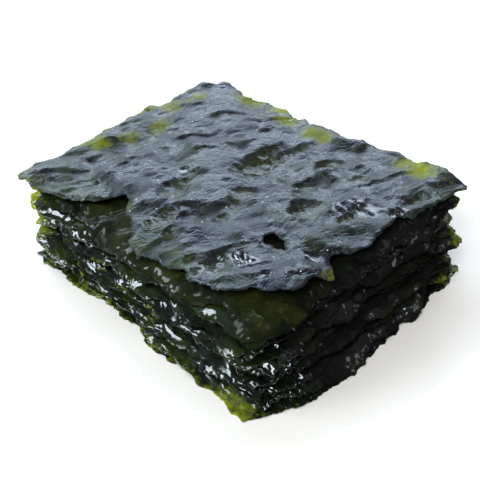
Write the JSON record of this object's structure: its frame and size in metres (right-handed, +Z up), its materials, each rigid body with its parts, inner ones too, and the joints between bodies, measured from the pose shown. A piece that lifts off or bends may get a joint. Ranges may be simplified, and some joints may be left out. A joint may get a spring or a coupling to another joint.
{
  "type": "seaweed snack",
  "caption": "Stack of thin, crinkled roasted seaweed sheets with torn edges, lying loosely one on another and leaning slightly to one side.",
  "frame": {"origin": "centre of the bounding box at the level of the surface the stack stands on", "axes": "+X along the long side of the sheets, +Y along their short side, +Z up; the front right corner in the picture is at +X, -Y"},
  "size_m": [0.0974, 0.0756, 0.0242],
  "materials": {
    "sheet": "crisp roasted seaweed, green-black with an oily sheen, yellow-green where thin",
    "top_sheet": "crisp roasted seaweed, green-black with a soft grey sheen and oily glints"
  },
  "bodies": {
    "root": {"sheet_01": "sheet", "sheet_02": "sheet", "sheet_03": "sheet", "sheet_04": "sheet", "sheet_05": "sheet", "sheet_06": "sheet", "sheet_07": "sheet", "sheet_08": "sheet", "sheet_09": "sheet", "sheet_10": "sheet", "sheet_11": "sheet", "sheet_12": "top_sheet"}
  },
  "joints": []
}
